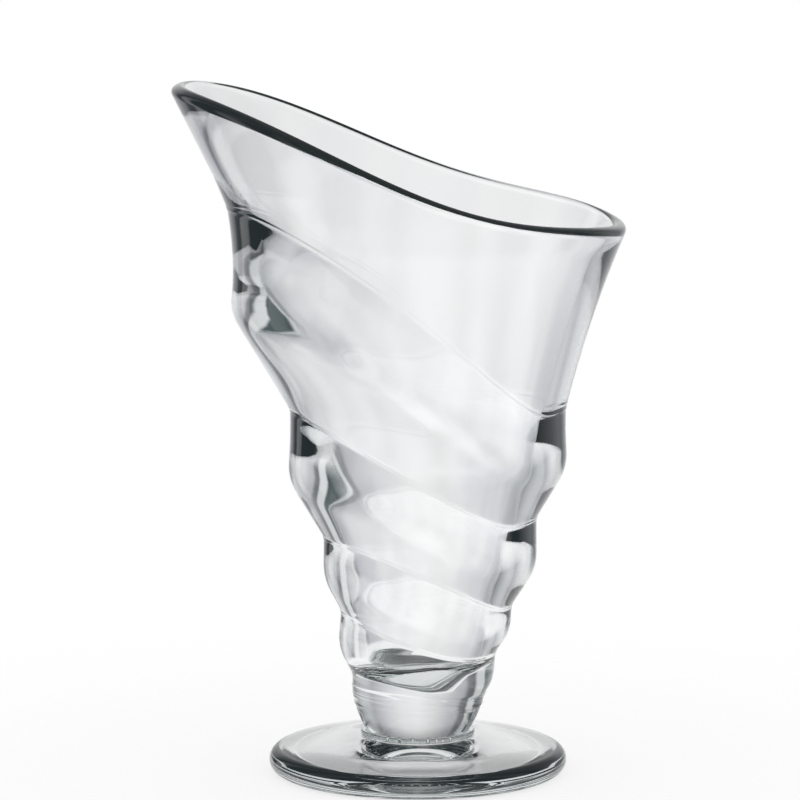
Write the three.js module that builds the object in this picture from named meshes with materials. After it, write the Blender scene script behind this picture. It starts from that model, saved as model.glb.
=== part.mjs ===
// A clear pressed-glass sundae dish: a tall spiral cup on a short solid stub, stuck by a thin collar of
// glass to a thick round foot. Millimetres, +Z up. The origin is the centre of the foot's underside, +X
// points to the low side of the slanted rim and -Y to the front, where the spiral sweeps down.
import * as THREE from 'three';

// Foot
const footRadius = 37.5;
const footEdgeThickness = 6;
const footThickness = 9.25;
const footPadMargin = 0.75; // flat pad left showing around the collar

// Collar
const collarRadius = 14.4;
const collarThickness = 1.25;

// Stub under the spiral, heights from the seam on the collar
const seamRadius = 13;
const stubRadius = 16;
const stubHeight = 7;
const stubPower = 1.4; // rounds the stub in towards the seam

// Slanted rim, heights of its crest from the seam
const rimHigh = 162.5;
const rimLow = 128.5;
const rimSag = 6; // front and back hang this far below the straight slant
const rimSwell = 2; // bends the slant into a gentle S
const rimFullness = 1.7; // keeps the slant up between the sides and the front and back
const lipThickness = 3.8; // square to the wall
const lipSquareness = 2.5; // 2 is a half round lip, more gives it a flatter top

// Body cone through the inner corners of the steps
const coneStart = 10.3;
const coneSlope = 0.258; // radius gained for each millimetre of height
const bodyOffset = 2.4; // the body leans this far towards the low side
const leanHeight = 43; // over this height above the seam

// Flare below the rim, at the high and the low side
const flareHigh = 9.4;
const flareLow = 3.7;
const flareReachHigh = 66;
const flareReachLow = 44;
const flarePower = 2.2;

// Step corners, heights from the seam. In each turn the corner line leaves the high side, sweeps down
// across the front, centred on that share of the turn, and runs on almost level round the back. The inner
// share is how much of the step's depth shows as a soft swell on the inside.
const firstHigh = 132;
const firstLow = 82.1;
const secondHigh = 81.4;
const secondLow = 54.2;
const thirdHigh = 49.2;
const thirdLow = 32;
const fourthHigh = 30.4;
const fourthLow = 19.9;
const fifthHigh = 14.1;
const stepTurns = [
  { high: firstHigh, low: firstLow, sweep: 0.247, inner: 0.68 },
  { high: secondHigh, low: secondLow, sweep: 0.226, inner: 0.2 },
  { high: thirdHigh, low: thirdLow, sweep: 0.274, inner: 0.5 },
  { high: fourthHigh, low: fourthLow, sweep: 0.211, inner: 0.5 },
  { high: fifthHigh, low: stubHeight, sweep: 0.3, inner: 0.3 },
];
const sweepLength = 0.35; // share of a turn
const stepFadeIn = 0.25; // share of a turn over which the first step grows out of the back
const stepFadeRise = 4; // the line starts this much higher, half a turn before the first corner
const stepUnderSlope = 0.604; // inward run of a step's underside, per millimetre of height
const stepBulge = 2.2; // how far the band of a step as tall as the first swells above its shoulder
const shoulderAt = 0.55; // share of the step height where the shoulder lies
const shoulderRound = 2.8;

// Cavity, a flared cone with a dished end, heights from the seam
const cavityFloor = 13;
const cavityDishTop = 20.5;
const wallAtFloor = 4;
const wallFullness = 1.4; // extra wall halfway between the floor and the low side of the rim
const rimHollow = 1; // at the high side the wall thins this much on its way up to the lip
const rimHollowReach = 40;

// Facets
const columns = 72;
const skirtRows = 4;
const stepRows = [0, 0.2, 0.38, 0.48, 0.56, 0.64, 0.76, 0.88];
const stubRows = 4;
const lipRows = 6;
const wallRows = 20;
const wallCrowding = 1.3; // draws the rows of the inner wall closer together towards the floor
const dishRows = 5;
const edgeRows = 8;
const footTopRows = 7;
const leastStep = 0.8; // a step lower than this has run out into the stub

const lastTurn = stepTurns.length - 0.5;
const seamHeight = footThickness + collarThickness;

function ease(value) {
  const u = THREE.MathUtils.clamp(value, 0, 1);
  return u * u * (3 - 2 * u);
}

function smoothLower(a, b, rounding) {
  const near = Math.max(rounding - Math.abs(a - b), 0) / rounding;
  return Math.min(a, b) - (near * near * rounding) / 4;
}

// Angle from +X of a place on the spiral: whole turns are at the high side, the front a quarter later.
function angleAt(turn) {
  return Math.PI + 2 * Math.PI * turn;
}

// 1 at the high side of the rim, 0 at the low side
function highShare(turn) {
  return (1 - Math.cos(angleAt(turn))) / 2;
}

function bodyAxis(height) {
  return bodyOffset * ease(height / leanHeight);
}

function rimHeight(turn) {
  const across = -Math.cos(angleAt(turn));
  const along = 1 - across * across;
  const slant = (rimHigh + rimLow) / 2 + ((rimHigh - rimLow) / 2) * across;
  return slant + (rimSwell * across - rimSag) * along + rimFullness * Math.sin(2 * angleAt(turn)) ** 2;
}

// Plain body without its steps
function bodyRadius(turn, height) {
  const share = highShare(turn);
  const flare = THREE.MathUtils.lerp(flareLow, flareHigh, share);
  const reach = THREE.MathUtils.lerp(flareReachLow, flareReachHigh, share);
  const rise = Math.max(1 - (rimHeight(turn) - height) / reach, 0);
  return stubRadius + coneSlope * Math.max(height - coneStart, 0) + flare * rise ** flarePower;
}

// The lip stands square on the end of the wall. Gives its centre and the lean of the wall there.
function lipAt(turn) {
  const end = rimHeight(turn) - lipThickness / 2;
  const lean = Math.atan(bodyRadius(turn, end) - bodyRadius(turn, end - 1));
  const top = end - (lipThickness / 2) * Math.sin(lean);
  return { height: end, radius: bodyRadius(turn, top) - (lipThickness / 2) * Math.cos(lean), lean, top };
}

// Height of the corner line, counted in turns from the first corner at the high side
function cornerHeight(turn) {
  if (turn < 0) {
    return stepTurns[0].high - 2 * stepFadeRise * turn;
  }
  if (turn >= lastTurn) {
    return stubHeight;
  }
  const index = Math.floor(turn);
  const along = turn - index;
  const { high, low, sweep } = stepTurns[index];
  if (along < 0.5) {
    return THREE.MathUtils.lerp(high, low, ease((along - sweep) / sweepLength + 0.5));
  }
  return THREE.MathUtils.lerp(low, stepTurns[index + 1].high, 2 * along - 1);
}

// How far a step stands out of the body, at a share of the way down from its corner to the next
function stepDepth(turn, share) {
  const drop = cornerHeight(turn) - cornerHeight(turn + 1);
  const bulge = stepBulge * (drop / (firstHigh - secondHigh)) ** 2;
  const band = coneSlope * share * drop + bulge * (share / shoulderAt) ** 3;
  const underside = (stepUnderSlope - coneSlope) * (1 - share) * drop;
  const rounding = Math.min(shoulderRound, coneSlope * shoulderAt * drop);
  const grown = ease((turn + stepFadeIn) / stepFadeIn);
  return grown * Math.max(smoothLower(band, underside, rounding), 0);
}

function innerShare(turn) {
  const index = THREE.MathUtils.clamp(Math.floor(turn), 0, stepTurns.length - 2);
  const along = THREE.MathUtils.clamp(turn - index, 0, 1);
  return THREE.MathUtils.lerp(stepTurns[index].inner, stepTurns[index + 1].inner, along);
}

// How far the inside swells out behind the step at a height, most at the high side
function innerDepth(turn, height) {
  let corner = turn - 1;
  while (corner < lastTurn && cornerHeight(corner + 1) > height) {
    corner++;
  }
  const top = cornerHeight(corner);
  const drop = top - cornerHeight(corner + 1);
  if (drop < leastStep) {
    return 0;
  }
  const share = THREE.MathUtils.clamp((top - height) / drop, 0, 1);
  const swell = Math.sin(Math.PI * share) ** 2 * highShare(turn) ** 2;
  return innerShare(corner) * stepDepth(corner, shoulderAt) * swell;
}

function cavityRadius(turn, height) {
  const { height: end, radius, lean } = lipAt(turn);
  const innerTop = end + (lipThickness / 2) * Math.sin(lean);
  const wallAtTop = bodyRadius(turn, innerTop) - radius + (lipThickness / 2) * Math.cos(lean);
  const up = THREE.MathUtils.clamp((height - cavityFloor) / (innerTop - cavityFloor), 0, 1);
  const lowTop = rimLow - lipThickness;
  const belowLip = THREE.MathUtils.clamp((height - cavityFloor) / (lowTop - cavityFloor), 0, 1);
  const fullness = wallFullness * (1 - (2 * belowLip - 1) ** 4);
  const belowRim = THREE.MathUtils.clamp((innerTop - height) / rimHollowReach, 0, 1);
  const hollow = rimHollow * highShare(turn) ** 2 * Math.sin(Math.PI * belowRim) ** 2;
  const wall = THREE.MathUtils.lerp(wallAtFloor, wallAtTop, up) + fullness - hollow;
  const down = THREE.MathUtils.clamp((cavityDishTop - height) / (cavityDishTop - cavityFloor), 0, 1);
  return (bodyRadius(turn, height) + innerDepth(turn, height) - wall) * Math.sqrt(1 - down * down);
}

// Section of the bowl at one angle, as points from the middle of the cavity floor over the rim to the seam.
// Each point's order says which points of two neighbouring sections belong together.
function bowlSection(turn) {
  const points = [];
  for (let i = 1; i <= dishRows; i++) {
    const height = cavityDishTop - (cavityDishTop - cavityFloor) * Math.cos((Math.PI / 2) * (i / dishRows));
    points.push({ radius: cavityRadius(turn, height), height, order: i / dishRows });
  }
  const lip = lipAt(turn);
  const innerTop = 2 * lip.height - lip.top;
  for (let i = 1; i < wallRows; i++) {
    const height = THREE.MathUtils.lerp(cavityDishTop, innerTop, (i / wallRows) ** wallCrowding);
    points.push({ radius: cavityRadius(turn, height), height, order: 1 + i / wallRows });
  }
  for (let i = 0; i <= lipRows; i++) {
    const around = Math.PI * (1 - i / lipRows);
    const side = Math.sign(i - lipRows / 2);
    const across = side * (lipThickness / 2) * Math.abs(Math.cos(around)) ** (2 / lipSquareness);
    const along = (lipThickness / 2) * Math.abs(Math.sin(around)) ** (2 / lipSquareness);
    const radius = lip.radius + across * Math.cos(lip.lean) + along * Math.sin(lip.lean);
    const height = lip.height + along * Math.cos(lip.lean) - across * Math.sin(lip.lean);
    points.push({ radius, height, order: 2 + i / lipRows });
  }
  const top = lip.top;
  const addOuter = (height, depth) => {
    const order = 3 + (top - height) / (top - stubHeight);
    points.push({ radius: bodyRadius(turn, height) + depth, height, order });
  };
  const first = turn < 1 - stepFadeIn ? turn : turn - 1;
  for (let i = 1; i < skirtRows; i++) {
    addOuter(THREE.MathUtils.lerp(top, cornerHeight(first), i / skirtRows), 0);
  }
  for (let corner = first; cornerHeight(corner) > stubHeight + leastStep; corner++) {
    for (const share of stepRows) {
      const height = THREE.MathUtils.lerp(cornerHeight(corner), cornerHeight(corner + 1), share);
      addOuter(height, stepDepth(corner, share));
    }
  }
  for (let i = 0; i <= stubRows; i++) {
    const down = i / stubRows;
    const radius = stubRadius - (stubRadius - seamRadius) * down ** stubPower;
    points.push({ radius, height: stubHeight * (1 - down), order: 4 + down });
  }
  return points;
}

// Joins neighbouring sections with triangles. Sections of one length are joined point to point, and where
// a step begins or ends, the points are taken in their order.
function joinSections(left, right, addTriangle) {
  const paired = left.length === right.length;
  let i = 0;
  let j = 0;
  while (i < left.length - 1 || j < right.length - 1) {
    const nextLeft = i < left.length - 1 ? left[i + 1].order : Infinity;
    const nextRight = j < right.length - 1 ? right[j + 1].order : Infinity;
    if (paired ? i === j : nextLeft <= nextRight) {
      addTriangle(left[i].index, left[i + 1].index, right[j].index);
      i++;
    } else {
      addTriangle(left[i].index, right[j + 1].index, right[j].index);
      j++;
    }
  }
}

function bowlGeometry() {
  const positions = [];
  const triangles = [];
  const addPoint = (x, y, z) => positions.push(x, y, z) / 3 - 1;
  const addTriangle = (a, b, c) => triangles.push(a, b, c);
  const sections = [];
  for (let column = 0; column < columns; column++) {
    const turn = column / columns;
    const section = bowlSection(turn);
    for (const point of section) {
      const x = bodyAxis(point.height) + point.radius * Math.cos(angleAt(turn));
      const y = point.radius * Math.sin(angleAt(turn));
      point.index = addPoint(x, y, point.height);
    }
    sections.push(section);
  }
  const floorMiddle = addPoint(bodyAxis(cavityFloor), 0, cavityFloor);
  const seamMiddle = addPoint(0, 0, 0);
  sections.forEach((section, column) => {
    const next = sections[(column + 1) % columns];
    addTriangle(floorMiddle, section[0].index, next[0].index);
    joinSections(section, next, addTriangle);
    addTriangle(section.at(-1).index, seamMiddle, next.at(-1).index);
  });
  const geometry = new THREE.BufferGeometry();
  geometry.setAttribute('position', new THREE.Float32BufferAttribute(positions, 3));
  geometry.setIndex(triangles);
  geometry.computeVertexNormals();
  return geometry;
}

// Turns a profile of radius and height round the Z axis
function turned(profile) {
  return new THREE.LatheGeometry(profile, columns).rotateX(Math.PI / 2);
}

// Half round edge of a disc, from its underside to its top
function roundEdge(radius, bottom, top) {
  const half = (top - bottom) / 2;
  const points = [];
  for (let i = 0; i <= edgeRows; i++) {
    const around = Math.PI * (i / edgeRows - 0.5);
    const out = radius - half + half * Math.cos(around);
    points.push(new THREE.Vector2(out, bottom + half + half * Math.sin(around)));
  }
  return points;
}

function collarGeometry() {
  const edge = roundEdge(collarRadius, 0, collarThickness);
  return turned([new THREE.Vector2(0, 0), ...edge, new THREE.Vector2(0, collarThickness)]);
}

function footGeometry() {
  const padRadius = collarRadius + footPadMargin;
  const domeRadius = footRadius - footEdgeThickness / 2;
  const dome = [];
  for (let i = 1; i <= footTopRows; i++) {
    const inward = i / footTopRows;
    const rise = (footThickness - footEdgeThickness) * inward;
    const radius = THREE.MathUtils.lerp(domeRadius, padRadius, inward);
    dome.push(new THREE.Vector2(radius, footEdgeThickness + rise));
  }
  const edge = roundEdge(footRadius, 0, footEdgeThickness);
  return turned([new THREE.Vector2(0, 0), ...edge, ...dome, new THREE.Vector2(0, footThickness)]);
}

// One glass for all pieces, each with its own material
function glassPiece(name, geometry, height) {
  const material = new THREE.MeshStandardMaterial({ color: 0xe3e8ea, roughness: 0.06, metalness: 0 });
  const piece = new THREE.Mesh(geometry, material);
  piece.name = name;
  piece.position.z = height;
  return piece;
}

const dish = new THREE.Group();
dish.add(glassPiece('foot', footGeometry(), 0));
dish.add(glassPiece('joining_collar', collarGeometry(), footThickness));
dish.add(glassPiece('spiral_bowl', bowlGeometry(), seamHeight));

export default dish;
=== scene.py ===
import functools
import math
import random

import bmesh
import bpy
from mathutils import Matrix, Vector


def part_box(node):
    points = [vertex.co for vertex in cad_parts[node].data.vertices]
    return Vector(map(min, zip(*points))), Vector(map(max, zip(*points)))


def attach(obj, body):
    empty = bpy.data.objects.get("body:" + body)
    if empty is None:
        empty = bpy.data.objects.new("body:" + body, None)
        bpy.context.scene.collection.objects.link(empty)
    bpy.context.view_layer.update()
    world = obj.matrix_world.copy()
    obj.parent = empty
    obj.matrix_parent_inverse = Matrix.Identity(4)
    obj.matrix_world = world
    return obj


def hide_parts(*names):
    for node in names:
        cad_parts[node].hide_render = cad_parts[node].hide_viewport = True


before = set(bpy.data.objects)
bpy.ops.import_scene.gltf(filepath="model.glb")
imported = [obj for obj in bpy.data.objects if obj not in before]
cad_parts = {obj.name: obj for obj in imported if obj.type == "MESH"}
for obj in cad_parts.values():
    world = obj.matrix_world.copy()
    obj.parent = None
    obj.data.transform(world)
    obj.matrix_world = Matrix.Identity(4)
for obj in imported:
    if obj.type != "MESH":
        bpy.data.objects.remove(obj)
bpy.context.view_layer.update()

# Sizes are in millimetres, and heights on the bowl are measured from its seam with the collar
MM = 0.001
SEAM_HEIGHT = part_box("spiral_bowl")[0].z / MM
COLLAR_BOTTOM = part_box("joining_collar")[0].z / MM
COLLAR_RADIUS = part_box("joining_collar")[1].x / MM
FOOT_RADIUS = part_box("foot")[1].x / MM
FOOT_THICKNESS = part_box("foot")[1].z / MM

# Foot and collar
FOOT_EDGE_THICKNESS = 6.0
FOOT_PAD_MARGIN = 0.75
FOOT_HOLLOW = 2.8
FOOT_RING = 4.0
BUBBLE_COUNT = 46
BUBBLE_RING = 12.6
BUBBLE_RADIUS = 0.5
BUBBLE_SMALLEST = 0.45
BUBBLE_STRAY_ALONG = 0.45
BUBBLE_STRAY_ACROSS = 0.4
BUBBLE_SEED = 7

# Stub under the spiral
SEAM_RADIUS = 13.0
STUB_RADIUS = 16.0
STUB_HEIGHT = 7.0
STUB_POWER = 1.4

# Slanted rim, which hangs lower towards the front right, with a lip that is squarer inside at the back
RIM_HIGH = 162.5
RIM_LOW = 128.5
RIM_SAG = 6.0
RIM_SWELL = 2.0
RIM_FULLNESS = 1.7
RIM_DROOP = 1.7
RIM_DROOP_AT = 300.0
LIP_THICKNESS = 3.8
LIP_SQUARENESS = 2.5
LIP_SQUARENESS_BACK = 3.9

# Body cone and its flare
CONE_START = 10.3
CONE_SLOPE = 0.258
BODY_OFFSET = 2.4
LEAN_HEIGHT = 43.0
FLARE_HIGH = 9.4
FLARE_LOW = 3.7
FLARE_REACH_HIGH = 66.0
FLARE_REACH_LOW = 44.0
FLARE_POWER = 2.2

# Step corners: height at the high side, height at the low side, and where in the turn the sweep is centred
STEP_TURNS = [
    (132.0, 82.1, 0.247),
    (81.4, 54.2, 0.226),
    (49.2, 32.0, 0.274),
    (30.4, 19.9, 0.211),
    (14.1, STUB_HEIGHT, 0.3),
]
INNER_SHARES = [0.68, 0.2, 0.5, 0.5, 0.3]
FIRST_DROP = STEP_TURNS[0][0] - STEP_TURNS[1][0]
LAST_TURN = len(STEP_TURNS) - 0.5
SWEEP_LENGTH = 0.35
STEP_FADE_IN = 0.25
STEP_FADE_RISE = 4.0
STEP_UNDER_SLOPE = 0.604
STEP_BULGE = 2.2
SHOULDER_AT = 0.55
SHOULDER_ROUND = 2.8
CORNER_ROUND = 0.15
CORNER_BEAD = 0.12
BEAD_WIDTH = 0.45

# Cavity
CAVITY_FLOOR = 13.0
CAVITY_DISH_TOP = 20.5
WALL_AT_FLOOR = 4.0
WALL_FULLNESS = 1.4
RIM_HOLLOW = 1.0
RIM_HOLLOW_REACH = 40.0

# Glass, with a faint painted glow that it gives off at each face though no lamp lights it, which lifts rays
# long trapped in the wall
GLASS_IOR = 1.52
GLASS_DENSITY = 6.0
GLASS_DEPTH_COLOUR = (0.55, 0.66, 0.64, 1)
GLASS_PAINTED_GLOW = 0.0035
GLASS_PAINTED_GLOW_COLOUR = (0.75, 0.95, 1.0, 1)
RIPPLE_STRETCH = 0.35
FILM_SCALE = 220.0
LIGHT_BOUNCES = 48
WELD_BOUNCES = 16

# Studio as the glass sees it: how bright it is behind the dish, by the angle to the right
DARK = (0.045, 0.07, 0.073)
LEFT_STRIP = (0.78, 0.79, 0.8)
BEHIND = [
    (-76, DARK), (-53, DARK), (-50, LEFT_STRIP), (-40, LEFT_STRIP), (-37, (0.117, 0.121, 0.13)),
    (-31, (0.195, 0.2, 0.215)), (-27, (0.54, 0.54, 0.575)), (-20, (0.66, 0.66, 0.69)), (-10, 0.93), (0, 1.1),
    (10, 1.06), (20, (0.85, 0.85, 0.88)), (27, (0.68, 0.68, 0.71)), (34, (0.5, 0.5, 0.53)),
    (41, (0.66, 0.67, 0.69)), (50, (0.64, 0.65, 0.67)), (57, (0.5, 0.51, 0.53)), (64, (0.3, 0.31, 0.32)),
    (70, DARK),
]

# Its windows further round, by the angle to either side
WINDOWS = [
    (76, DARK), (82, 0.9), (90, 1.0), (98, 0.9), (104, DARK), (125, DARK), (129, 0.8), (141, 0.8),
    (145, 0.12), (155, 0.15), (163, 0.8), (172, 1.0), (180, 1.0),
]

# The share of both that is left, by the angle up
OVERHEAD = [
    (-90, 0.94), (-20, 0.94), (-12, 0.9), (-7, 0.84), (0, 0.8), (8, 0.8), (17, 0.75), (24, 0.45), (40, 0.25),
    (90, 0.2),
]

# Table, in metres
TABLE_RADIUS = 0.22
TABLE_GAP = 0.0002
TABLE_COLOUR = (0.97, 0.97, 0.97, 1)
TABLE_WHITE = 0.75

# The table by the share of its radius: where it fades out, and how dim the glass sees it under the foot
TABLE_FADE = [(0.45, 0.0), (0.95, 1.0)]
FOOT_SHADE = [(0.06, 1.0), (0.085, 0.4), (0.15, 0.4), (0.2, 1.0)]

# Painted shadow of the dish under the back of its foot, a dark spot laid on the table: its middle, in
# metres, and how deep it is around that
SHADOW_AT = (-0.003, 0.023, 0.0)
SHADOW_FADE = [(0.045, 0.92), (0.075, 0.0)]

# Camera, in metres and degrees, with the focal length in picture widths
CAMERA_PLACE = (-0.0045, -1.080, 0.2415)
CAMERA_TILT = 7.776
CAMERA_FOCAL = 5.45475
CAMERA_SENSOR = 36.0
CAMERA_REACH = 100.0

# Fineness of the meshes
TURN_COLUMNS = 216
STEP_ROWS = 36
ROW_CROWDING = 0.92
RIBBON_START = -1.3
LIP_ROWS = 28
WALL_ROWS = 80
DISH_ROWS = 16
STUB_ROWS = 14
EDGE_ROWS = 28
DOME_ROWS = 30
BUBBLE_DETAIL = 2
TABLE_SIDES = 96
MERGE_DISTANCE = 0.04 * MM
AXIS_MERGE = 1e-7
LEVEL_SLACK = 1e-6
TINY = 1e-9


def lerp(a, b, share):
    return a + (b - a) * share


def clamp(value):
    return min(max(value, 0.0), 1.0)


def ease(value):
    u = clamp(value)
    return u * u * (3 - 2 * u)


def smooth_lower(a, b, rounding):
    near = max(rounding - abs(a - b), 0.0) / max(rounding, TINY)
    return min(a, b) - near * near * rounding / 4


# The form of the bowl. Whole turns lie at the high side of the rim, and the front comes a quarter later.
def angle_at(turn):
    return math.pi + 2 * math.pi * turn


def body_axis(height):
    return BODY_OFFSET * ease(height / LEAN_HEIGHT)


def rim_height(turn):
    across = -math.cos(angle_at(turn))
    slant = (RIM_HIGH + RIM_LOW) / 2 + (RIM_HIGH - RIM_LOW) / 2 * across
    fullness = RIM_FULLNESS * math.sin(2 * angle_at(turn)) ** 2
    droop = RIM_DROOP * max(math.cos(angle_at(turn) - math.radians(RIM_DROOP_AT)), 0.0) ** 3
    return slant + (RIM_SWELL * across - RIM_SAG) * (1 - across * across) + fullness - droop


def high_share(turn):
    """1 at the high side of the rim, 0 at the low side."""
    return (1 - math.cos(angle_at(turn))) / 2


def body_radius(turn, height):
    share = high_share(turn)
    flare = lerp(FLARE_LOW, FLARE_HIGH, share)
    reach = lerp(FLARE_REACH_LOW, FLARE_REACH_HIGH, share)
    rise = max(1 - (rim_height(turn) - height) / reach, 0.0)
    return STUB_RADIUS + CONE_SLOPE * max(height - CONE_START, 0.0) + flare * rise ** FLARE_POWER


@functools.lru_cache(maxsize=None)
def lip_at(turn):
    """Centre radius and height of the half round lip, and the lean of the wall that it stands square on."""
    height = rim_height(turn) - LIP_THICKNESS / 2
    lean = math.atan(body_radius(turn, height) - body_radius(turn, height - 1))
    outer = body_radius(turn, height - LIP_THICKNESS / 2 * math.sin(lean))
    return outer - LIP_THICKNESS / 2 * math.cos(lean), height, lean


def outer_top(turn):
    radius, height, lean = lip_at(turn)
    return height - LIP_THICKNESS / 2 * math.sin(lean)


def inner_top(turn):
    radius, height, lean = lip_at(turn)
    return height + LIP_THICKNESS / 2 * math.sin(lean)


def corner_height(turn):
    """Height of the corner line, which winds down from the first corner at the high side."""
    if turn < 0:
        return STEP_TURNS[0][0] - 2 * STEP_FADE_RISE * turn
    if turn >= LAST_TURN:
        return STUB_HEIGHT
    index = int(turn)
    along = turn - index
    high, low, sweep = STEP_TURNS[index]
    if along < 0.5:
        return lerp(high, low, ease((along - sweep) / SWEEP_LENGTH + 0.5))
    return lerp(low, STEP_TURNS[index + 1][0], 2 * along - 1)


def grown(turn):
    return ease((turn + STEP_FADE_IN) / STEP_FADE_IN)


def step_depth(turn, share):
    """How far a step stands out of the body, at a share of the way down from its corner to the next."""
    drop = corner_height(turn) - corner_height(turn + 1)
    bulge = STEP_BULGE * (drop / FIRST_DROP) ** 2
    band = CONE_SLOPE * share * drop + bulge * (share / SHOULDER_AT) ** 3
    underside = (STEP_UNDER_SLOPE - CONE_SLOPE) * (1 - share) * drop
    rounding = min(SHOULDER_ROUND, CONE_SLOPE * SHOULDER_AT * drop)
    depth = grown(turn) * max(smooth_lower(band, underside, rounding), 0.0)
    corner_round = CORNER_ROUND * lerp(grown(turn), grown(turn + 1), share)
    upper_bead = grown(turn) * math.exp(-((share * drop / BEAD_WIDTH) ** 2))
    lower_bead = grown(turn + 1) * math.exp(-(((1 - share) * drop / BEAD_WIDTH) ** 2))
    return math.hypot(depth, corner_round) + CORNER_BEAD * (upper_bead + lower_bead)


def outer_point(turn, share):
    """A point on the outside of the bowl, between one corner line and the next."""
    top = min(corner_height(turn), outer_top(turn))
    bottom = min(corner_height(turn + 1), outer_top(turn))
    height = lerp(top, bottom, share)
    return body_radius(turn, height) + step_depth(turn, share), height


def lip_point(turn, share):
    """A point on the lip, at a share of the way from the outside over its crest to the inside."""
    radius, height, lean = lip_at(turn)
    squareness = LIP_SQUARENESS
    if share > 0.5:
        squareness = lerp(LIP_SQUARENESS, LIP_SQUARENESS_BACK, ease(math.sin(angle_at(turn))))
    power = 2 / squareness
    across = LIP_THICKNESS / 2 * abs(math.cos(math.pi * share)) ** power
    across = math.copysign(across, 0.5 - share)
    along = LIP_THICKNESS / 2 * math.sin(math.pi * share) ** power
    out = across * math.cos(lean) + along * math.sin(lean)
    return radius + out, height + along * math.cos(lean) - across * math.sin(lean)


def inner_share(turn):
    """Share of a step's depth that shows on the inside."""
    index = min(max(math.floor(turn), 0), len(INNER_SHARES) - 2)
    return lerp(INNER_SHARES[index], INNER_SHARES[index + 1], clamp(turn - index))


def inner_depth(turn, height):
    """The inside swells out softly behind each step."""
    corner = turn - 1
    while corner < LAST_TURN and corner_height(corner + 1) > height:
        corner += 1
    top = corner_height(corner)
    drop = max(top - corner_height(corner + 1), TINY)
    swell = math.sin(math.pi * clamp((top - height) / drop)) ** 2
    return inner_share(corner) * high_share(turn) ** 2 * step_depth(corner, SHOULDER_AT) * swell


def cavity_point(turn, height):
    radius, lip_height, lean = lip_at(turn)
    wall_at_top = body_radius(turn, inner_top(turn)) - radius + LIP_THICKNESS / 2 * math.cos(lean)
    up = clamp((height - CAVITY_FLOOR) / (inner_top(turn) - CAVITY_FLOOR))
    below_lip = clamp((height - CAVITY_FLOOR) / (RIM_LOW - LIP_THICKNESS - CAVITY_FLOOR))
    wall = lerp(WALL_AT_FLOOR, wall_at_top, up) + WALL_FULLNESS * (1 - (2 * below_lip - 1) ** 4)
    below_rim = clamp((inner_top(turn) - height) / RIM_HOLLOW_REACH)
    wall -= RIM_HOLLOW * high_share(turn) ** 2 * math.sin(math.pi * below_rim) ** 2
    down = clamp((CAVITY_DISH_TOP - height) / (CAVITY_DISH_TOP - CAVITY_FLOOR))
    full_radius = body_radius(turn, height) + inner_depth(turn, height) - wall
    return full_radius * math.sqrt(1 - down * down), height


def wall_point(turn, share):
    return cavity_point(turn, lerp(inner_top(turn), CAVITY_DISH_TOP, share))


def dish_point(turn, share):
    return cavity_point(turn, lerp(CAVITY_DISH_TOP, CAVITY_FLOOR, math.sin(math.pi / 2 * share)))


def stub_point(turn, share):
    height = STUB_HEIGHT * (1 - share)
    fillet = CORNER_ROUND * math.exp(-(STUB_HEIGHT - height) / (2 * CORNER_ROUND))
    return STUB_RADIUS - (STUB_RADIUS - SEAM_RADIUS) * share ** STUB_POWER + fillet, height


def place(turn, point):
    """A point of the bowl, given as radius and height at a turn, in metres."""
    radius, height = point
    x = body_axis(height) + radius * math.cos(angle_at(turn))
    y = radius * math.sin(angle_at(turn))
    return Vector((x, y, SEAM_HEIGHT + height)) * MM


# Making the meshes
def new_piece(name, bm, materials):
    mesh = bpy.data.meshes.new(name)
    bm.to_mesh(mesh)
    bm.free()
    mesh.shade_smooth()
    for material in materials:
        mesh.materials.append(material)
    piece = bpy.data.objects.new(name, mesh)
    bpy.context.scene.collection.objects.link(piece)
    return piece


def wind_ribbon(bm, turn_layer):
    """Winds a flat strip round the bowl, each turn joined to the next along the corner line."""
    columns = round((LAST_TURN - RIBBON_START) * TURN_COLUMNS)
    corner = Matrix.Translation((0.5, 0.5, 0))
    bmesh.ops.create_grid(bm, x_segments=columns, y_segments=STEP_ROWS, size=0.5, matrix=corner)
    for vert in bm.verts:
        turn = RIBBON_START + round(vert.co.x * columns) / TURN_COLUMNS
        share = lerp(vert.co.y, (1 - math.cos(math.pi * vert.co.y)) / 2, ROW_CROWDING)
        vert[turn_layer] = turn % 1
        vert.co = place(turn, outer_point(turn, share))
    bmesh.ops.remove_doubles(bm, verts=bm.verts, dist=MERGE_DISTANCE)
    loose = [edge for edge in bm.edges if edge.is_wire]
    bmesh.ops.delete(bm, geom=loose, context="EDGES")


def add_ring(bm, ring, turn_layer, point):
    """Extrudes an open ring of edges and lays the new ring where point says, turn by turn."""
    grown_geometry = bmesh.ops.extrude_edge_only(bm, edges=ring)["geom"]
    verts = {item for item in grown_geometry if isinstance(item, bmesh.types.BMVert)}
    for vert in verts:
        vert.co = place(vert[turn_layer], point(vert[turn_layer]))
    edges = [item for item in grown_geometry if isinstance(item, bmesh.types.BMEdge)]
    return [edge for edge in edges if set(edge.verts) <= verts]


def close_ring(bm, ring, centre):
    """Fills a ring with a fan of faces round its centre."""
    grown_geometry = bmesh.ops.extrude_edge_only(bm, edges=ring)["geom"]
    verts = [item for item in grown_geometry if isinstance(item, bmesh.types.BMVert)]
    bmesh.ops.pointmerge(bm, verts=verts, merge_co=centre)


def open_ring(bm, above):
    """The open ring of edges above or below half the height of the bowl."""
    middle = (SEAM_HEIGHT + RIM_LOW / 2) * MM
    return [edge for edge in bm.edges if edge.is_boundary and (edge.verts[0].co.z > middle) == above]


def mark_welds(bm, heights):
    """Marks the hidden faces that are fused to the next piece, flat at the given heights."""
    weld = bm.faces.layers.float.new("weld")
    for face in bm.faces:
        for height, radius in heights:
            level = all(abs(vert.co.z - height * MM) < LEVEL_SLACK for vert in face.verts)
            inside = all(vert.co.xy.length < radius * MM + LEVEL_SLACK for vert in face.verts)
            if level and inside:
                face[weld] = 1.0


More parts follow.
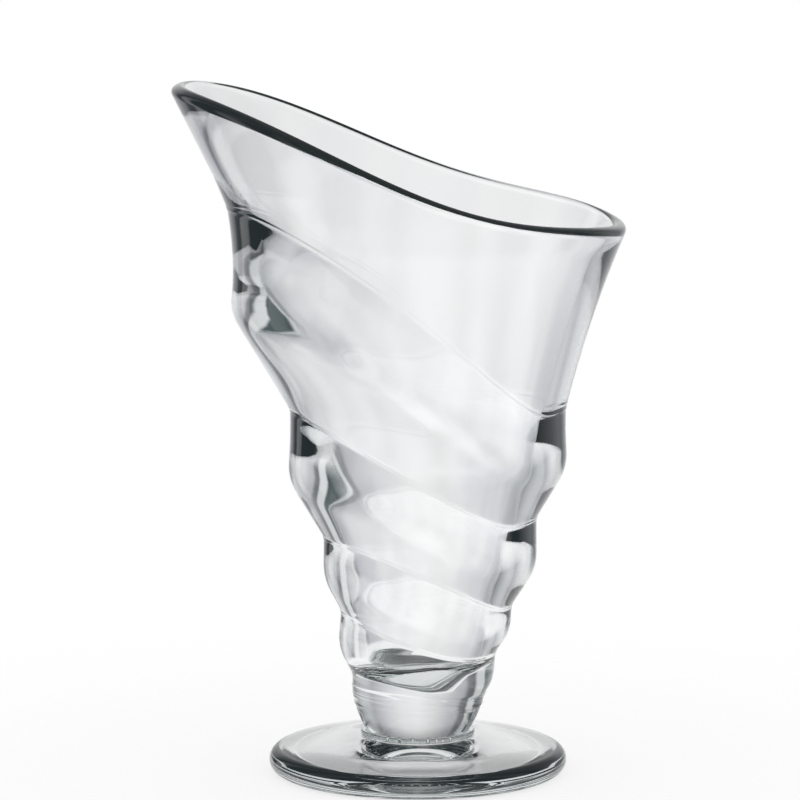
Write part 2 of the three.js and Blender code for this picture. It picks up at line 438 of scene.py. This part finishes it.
def spiral_bowl(material):
    bm = bmesh.new()
    turn_layer = bm.verts.layers.float.new("turn")
    wind_ribbon(bm, turn_layer)
    ring = open_ring(bm, True)
    for row in range(1, LIP_ROWS + 1):
        ring = add_ring(bm, ring, turn_layer, lambda turn: lip_point(turn, row / LIP_ROWS))
    for row in range(1, WALL_ROWS + 1):
        ring = add_ring(bm, ring, turn_layer, lambda turn: wall_point(turn, row / WALL_ROWS))
    for row in range(1, DISH_ROWS):
        ring = add_ring(bm, ring, turn_layer, lambda turn: dish_point(turn, row / DISH_ROWS))
    close_ring(bm, ring, place(0, (0, CAVITY_FLOOR)))
    ring = open_ring(bm, False)
    for row in range(1, STUB_ROWS + 1):
        ring = add_ring(bm, ring, turn_layer, lambda turn: stub_point(turn, row / STUB_ROWS))
    close_ring(bm, ring, Vector((0, 0, SEAM_HEIGHT)) * MM)
    bmesh.ops.recalc_face_normals(bm, faces=bm.faces)
    mark_welds(bm, [(SEAM_HEIGHT, SEAM_RADIUS)])
    return new_piece("pressed_spiral_bowl", bm, [material])


def round_edge(radius, bottom, top):
    """Half round edge of a disc as radius and height, from its underside to its top."""
    half = (top - bottom) / 2
    points = []
    for row in range(EDGE_ROWS + 1):
        around = math.pi * (row / EDGE_ROWS - 0.5)
        points.append((radius - half + half * math.cos(around), bottom + half + half * math.sin(around)))
    return points


def turned_disc(profile):
    """Turns a profile that starts and ends on the axis."""
    bm = bmesh.new()
    verts = [bm.verts.new((radius * MM, 0, height * MM)) for radius, height in profile]
    edges = [bm.edges.new(pair) for pair in zip(verts, verts[1:])]
    bmesh.ops.spin(
        bm, geom=verts + edges, cent=(0, 0, 0), axis=(0, 0, 1), angle=2 * math.pi,
        steps=TURN_COLUMNS, use_merge=True,
    )
    bmesh.ops.remove_doubles(bm, verts=bm.verts, dist=AXIS_MERGE)
    bmesh.ops.recalc_face_normals(bm, faces=bm.faces)
    return bm


def joining_collar(material):
    edge = round_edge(COLLAR_RADIUS, COLLAR_BOTTOM, SEAM_HEIGHT)
    flat_radius = edge[0][0]
    bm = turned_disc([(0, COLLAR_BOTTOM), *edge, (SEAM_RADIUS, SEAM_HEIGHT), (0, SEAM_HEIGHT)])
    mark_welds(bm, [(COLLAR_BOTTOM, flat_radius), (SEAM_HEIGHT, SEAM_RADIUS)])
    chance = random.Random(BUBBLE_SEED)
    for index in range(BUBBLE_COUNT):
        along = index + chance.uniform(-BUBBLE_STRAY_ALONG, BUBBLE_STRAY_ALONG)
        angle = 2 * math.pi * along / BUBBLE_COUNT
        ring = BUBBLE_RING + chance.uniform(-BUBBLE_STRAY_ACROSS, BUBBLE_STRAY_ACROSS)
        size = BUBBLE_RADIUS * chance.uniform(BUBBLE_SMALLEST, 1.0)
        height = (COLLAR_BOTTOM + SEAM_HEIGHT) / 2
        middle = Vector((ring * math.cos(angle), ring * math.sin(angle), height))
        there = Matrix.Translation(middle * MM)
        bubble = bmesh.ops.create_icosphere(bm, subdivisions=BUBBLE_DETAIL, radius=size * MM, matrix=there)
        faces = {face for vert in bubble["verts"] for face in vert.link_faces}
        bmesh.ops.reverse_faces(bm, faces=list(faces))
    return new_piece("bubbled_collar", bm, [material])


def round_foot(material):
    pad_radius = COLLAR_RADIUS + FOOT_PAD_MARGIN
    dome_radius = FOOT_RADIUS - FOOT_EDGE_THICKNESS / 2
    dome = []
    for row in range(1, DOME_ROWS + 1):
        inward = row / DOME_ROWS
        rise = (FOOT_THICKNESS - FOOT_EDGE_THICKNESS) * inward
        dome.append((lerp(dome_radius, pad_radius, inward), FOOT_EDGE_THICKNESS + rise))
    collar_flat = COLLAR_RADIUS - (SEAM_HEIGHT - COLLAR_BOTTOM) / 2
    edge = round_edge(FOOT_RADIUS, 0, FOOT_EDGE_THICKNESS)
    ring_radius = FOOT_RADIUS - FOOT_EDGE_THICKNESS / 2 - FOOT_RING
    hollow = []
    for row in range(DOME_ROWS):
        outward = row / DOME_ROWS
        hollow.append((ring_radius * outward, FOOT_HOLLOW * (1 - outward * outward)))
    pad = [(collar_flat, FOOT_THICKNESS), (0, FOOT_THICKNESS)]
    bm = turned_disc([*hollow, (ring_radius, 0), *edge, *dome, *pad])
    mark_welds(bm, [(FOOT_THICKNESS, collar_flat)])
    return new_piece("domed_foot", bm, [material])


# Materials
def add_node(tree, kind, **inputs):
    node = tree.nodes.new(kind)
    for name, value in inputs.items():
        node.inputs[name.replace("_", " ")].default_value = value
    return node


def arithmetic(tree, operation, *values):
    """Adds a Math node. Each value is a number or an output of another node."""
    node = tree.nodes.new("ShaderNodeMath")
    node.operation = operation
    for socket, value in zip(node.inputs, values):
        if isinstance(value, bpy.types.NodeSocket):
            tree.links.new(value, socket)
        else:
            socket.default_value = value
    return node.outputs["Value"]


def ramp(tree, value, stops):
    """Adds a Color Ramp with a grey or a colour at each stop."""
    node = tree.nodes.new("ShaderNodeValToRGB")
    elements = node.color_ramp.elements
    while len(elements) < len(stops):
        elements.new(1.0)
    for element, (place_on_ramp, colour) in zip(elements, stops):
        element.position = place_on_ramp
        element.color = (*colour, 1) if isinstance(colour, tuple) else (colour, colour, colour, 1)
    tree.links.new(value, node.inputs["Fac"])
    return node.outputs["Color"]


def pressed_skin():
    """Slow ripples and faint haze that the mould leaves on pressed glass."""
    group = bpy.data.node_groups.new("pressed_skin", "ShaderNodeTree")
    sockets = group.interface
    for name, value in (("Ripple Scale", 60.0), ("Draw", 0.4), ("Haze", 0.01)):
        sockets.new_socket(name, in_out="INPUT", socket_type="NodeSocketFloat").default_value = value
    for name in ("Height", "Roughness"):
        sockets.new_socket(name, in_out="OUTPUT", socket_type="NodeSocketFloat")
    sockets.new_socket("Tint", in_out="OUTPUT", socket_type="NodeSocketColor")
    inputs = group.nodes.new("NodeGroupInput")
    outputs = group.nodes.new("NodeGroupOutput")
    where = group.nodes.new("ShaderNodeTexCoord")
    squeeze = group.nodes.new("ShaderNodeMapping")
    squeeze.inputs["Scale"].default_value = (1, 1, RIPPLE_STRETCH)
    group.links.new(where.outputs["Object"], squeeze.inputs["Vector"])
    waves = add_node(group, "ShaderNodeTexNoise", Detail=1.0, Roughness=0.4)
    group.links.new(squeeze.outputs["Vector"], waves.inputs["Vector"])
    group.links.new(inputs.outputs["Ripple Scale"], waves.inputs["Scale"])
    group.links.new(inputs.outputs["Draw"], waves.inputs["Distortion"])
    group.links.new(waves.outputs["Fac"], outputs.inputs["Height"])
    film = add_node(group, "ShaderNodeTexNoise", Scale=FILM_SCALE, Detail=3.0, Roughness=0.6)
    group.links.new(where.outputs["Object"], film.inputs["Vector"])
    hazy = arithmetic(group, "MULTIPLY", film.outputs["Fac"], inputs.outputs["Haze"])
    group.links.new(hazy, outputs.inputs["Roughness"])
    tint = ramp(group, waves.outputs["Fac"], [(0.3, (0.985, 0.99, 1.0)), (0.7, (1.0, 1.0, 1.0))])
    group.links.new(tint, outputs.inputs["Tint"])
    return group


def glass(name, skin, ripple_scale, draw, haze, ripple_depth):
    """Clear glass with a pressed skin. Faces marked as welds let everything through."""
    material = bpy.data.materials.new(name)
    material.use_nodes = True
    tree = material.node_tree
    tree.nodes.clear()
    output = tree.nodes.new("ShaderNodeOutputMaterial")
    body = add_node(tree, "ShaderNodeBsdfPrincipled", IOR=GLASS_IOR, Transmission_Weight=1.0)
    # Painted glow: the glass emits a faint light of its own at every face
    body.inputs["Emission Color"].default_value = GLASS_PAINTED_GLOW_COLOUR
    body.inputs["Emission Strength"].default_value = GLASS_PAINTED_GLOW
    surface = tree.nodes.new("ShaderNodeGroup")
    surface.node_tree = skin
    surface.inputs["Ripple Scale"].default_value = ripple_scale
    surface.inputs["Draw"].default_value = draw
    surface.inputs["Haze"].default_value = haze
    ripples = add_node(tree, "ShaderNodeBump", Strength=1.0, Distance=ripple_depth)
    tree.links.new(surface.outputs["Height"], ripples.inputs["Height"])
    tree.links.new(ripples.outputs["Normal"], body.inputs["Normal"])
    tree.links.new(surface.outputs["Roughness"], body.inputs["Roughness"])
    tree.links.new(surface.outputs["Tint"], body.inputs["Base Color"])
    weld = tree.nodes.new("ShaderNodeAttribute")
    weld.attribute_name = "weld"
    tree.links.new(arithmetic(tree, "SUBTRACT", 1.0, weld.outputs["Fac"]), body.inputs["Alpha"])
    tree.links.new(body.outputs["BSDF"], output.inputs["Surface"])
    depth = add_node(tree, "ShaderNodeVolumeAbsorption", Density=GLASS_DENSITY)
    depth.inputs["Color"].default_value = GLASS_DEPTH_COLOUR
    tree.links.new(depth.outputs["Volume"], output.inputs["Volume"])
    return material


# Studio, table and camera
def glass_ray(tree, light_path):
    """1 for a ray that the glass has reflected or let through."""
    reflected = light_path.outputs["Is Glossy Ray"]
    return arithmetic(tree, "MAXIMUM", reflected, light_path.outputs["Is Transmission Ray"])


def blend_colours(tree, way, first, second):
    """Two colours blended in full; the second may be a plain colour."""
    blend = tree.nodes.new("ShaderNodeMix")
    blend.data_type = "RGBA"
    blend.blend_type = way
    blend.inputs["Factor"].default_value = 1.0
    tree.links.new(first, blend.inputs["A"])
    if isinstance(second, tuple):
        blend.inputs["B"].default_value = second
    else:
        tree.links.new(second, blend.inputs["B"])
    return blend.outputs["Result"]


def mix_shaders(tree, share, first, second):
    """The first shader where the share is 0, and the second where it is 1."""
    mix = tree.nodes.new("ShaderNodeMixShader")
    tree.links.new(share, mix.inputs["Fac"])
    tree.links.new(first, mix.inputs[1])
    tree.links.new(second, mix.inputs[2])
    return mix.outputs["Shader"]


def studio():
    """A white sweep behind the dish, dimmer at the left than at the right, and windows further round."""
    world = bpy.data.worlds.new("studio")
    world.use_nodes = True
    tree = world.node_tree
    background = tree.nodes["Background"]
    direction = tree.nodes.new("ShaderNodeTexCoord")
    parts = tree.nodes.new("ShaderNodeSeparateXYZ")
    tree.links.new(direction.outputs["Generated"], parts.inputs["Vector"])
    turned = arithmetic(tree, "ARCTAN2", parts.outputs["X"], parts.outputs["Y"])
    sideways = arithmetic(tree, "DIVIDE", turned, math.pi)
    rightward = arithmetic(tree, "MULTIPLY_ADD", sideways, 0.5, 0.5)
    behind = ramp(tree, rightward, [(angle / 360 + 0.5, colour) for angle, colour in BEHIND])
    aside = arithmetic(tree, "ABSOLUTE", sideways)
    windows = ramp(tree, aside, [(angle / 180, colour) for angle, colour in WINDOWS])
    upward = arithmetic(tree, "MULTIPLY_ADD", parts.outputs["Z"], 0.5, 0.5)
    heights = [(math.sin(math.radians(angle)) / 2 + 0.5, grey) for angle, grey in OVERHEAD]
    overhead = ramp(tree, upward, heights)
    around = blend_colours(tree, "LIGHTEN", behind, windows)
    shaded = blend_colours(tree, "MULTIPLY", around, overhead)
    lifted = blend_colours(tree, "LIGHTEN", shaded, (*DARK, 1))
    light_path = tree.nodes.new("ShaderNodeLightPath")
    seen = tree.nodes.new("ShaderNodeMix")
    seen.data_type = "RGBA"
    seen.inputs["A"].default_value = (1, 1, 1, 1)
    tree.links.new(glass_ray(tree, light_path), seen.inputs["Factor"])
    tree.links.new(lifted, seen.inputs["B"])
    tree.links.new(seen.outputs["Result"], background.inputs["Color"])
    bpy.context.scene.world = world
    bpy.context.scene.view_settings.view_transform = "Standard"
    bpy.context.scene.cycles.max_bounces = LIGHT_BOUNCES
    bpy.context.scene.cycles.transmission_bounces = LIGHT_BOUNCES
    bpy.context.scene.cycles.transparent_max_bounces = WELD_BOUNCES


def white_table():
    """A round pale table top that fades into the white of the studio."""
    bm = bmesh.new()
    below = Matrix.Translation((0, 0, -TABLE_GAP))
    bmesh.ops.create_circle(bm, cap_ends=True, segments=TABLE_SIDES, radius=TABLE_RADIUS, matrix=below)
    material = bpy.data.materials.new("pale_table")
    material.use_nodes = True
    tree = material.node_tree
    tree.nodes.clear()
    output = tree.nodes.new("ShaderNodeOutputMaterial")
    top = add_node(tree, "ShaderNodeBsdfDiffuse")
    top.inputs["Color"].default_value = TABLE_COLOUR
    clear = tree.nodes.new("ShaderNodeBsdfTransparent")
    where = tree.nodes.new("ShaderNodeTexCoord")
    length = tree.nodes.new("ShaderNodeVectorMath")
    length.operation = "LENGTH"
    tree.links.new(where.outputs["Object"], length.inputs[0])
    out = arithmetic(tree, "DIVIDE", length.outputs["Value"], TABLE_RADIUS)
    fade = ramp(tree, out, TABLE_FADE)
    unshaded = ramp(tree, out, FOOT_SHADE)
    glow = add_node(tree, "ShaderNodeEmission", Strength=1.0)
    light_path = tree.nodes.new("ShaderNodeLightPath")
    seen_in_glass = arithmetic(tree, "MULTIPLY", glass_ray(tree, light_path), unshaded)
    seen = arithmetic(tree, "MAXIMUM", light_path.outputs["Is Camera Ray"], seen_in_glass)
    glowing = arithmetic(tree, "MULTIPLY", seen, TABLE_WHITE)
    lit = mix_shaders(tree, glowing, top.outputs["BSDF"], glow.outputs["Emission"])
    # Painted shadow: round SHADOW_AT the table is mixed towards a dark diffuse
    apart = tree.nodes.new("ShaderNodeVectorMath")
    apart.operation = "DISTANCE"
    tree.links.new(where.outputs["Object"], apart.inputs[0])
    apart.inputs[1].default_value = SHADOW_AT
    shadow = ramp(tree, arithmetic(tree, "DIVIDE", apart.outputs["Value"], TABLE_RADIUS), SHADOW_FADE)
    painted_shadow_dark = add_node(tree, "ShaderNodeBsdfDiffuse")
    painted_shadow_dark.inputs["Color"].default_value = (*DARK, 1)
    shadowed = mix_shaders(tree, shadow, lit, painted_shadow_dark.outputs["BSDF"])
    faded = mix_shaders(tree, fade, shadowed, clear.outputs["BSDF"])
    tree.links.new(faded, output.inputs["Surface"])
    new_piece("white_table", bm, [material])


def camera():
    data = bpy.data.cameras.new("camera")
    data.sensor_width = CAMERA_SENSOR
    data.lens = CAMERA_FOCAL * CAMERA_SENSOR
    data.clip_end = CAMERA_REACH
    eye = bpy.data.objects.new("camera", data)
    eye.location = CAMERA_PLACE
    eye.rotation_euler = (math.radians(90 - CAMERA_TILT), 0, 0)
    bpy.context.scene.collection.objects.link(eye)
    bpy.context.scene.camera = eye


# The pieces
skin = pressed_skin()
cup_glass = glass("pressed_cup_glass", skin, ripple_scale=60.0, draw=0.4, haze=0.01, ripple_depth=0.00004)
collar_glass = glass(
    "fused_collar_glass", skin, ripple_scale=200.0, draw=0.4, haze=0.02, ripple_depth=0.00003,
)
foot_glass = glass("pressed_foot_glass", skin, ripple_scale=60.0, draw=0.4, haze=0.01, ripple_depth=0.00004)
pieces = {
    "spiral_bowl": spiral_bowl(cup_glass),
    "joining_collar": joining_collar(collar_glass),
    "foot": round_foot(foot_glass),
}
for node, piece in pieces.items():
    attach(piece, "root")
    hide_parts(node)

white_table()
studio()
camera()
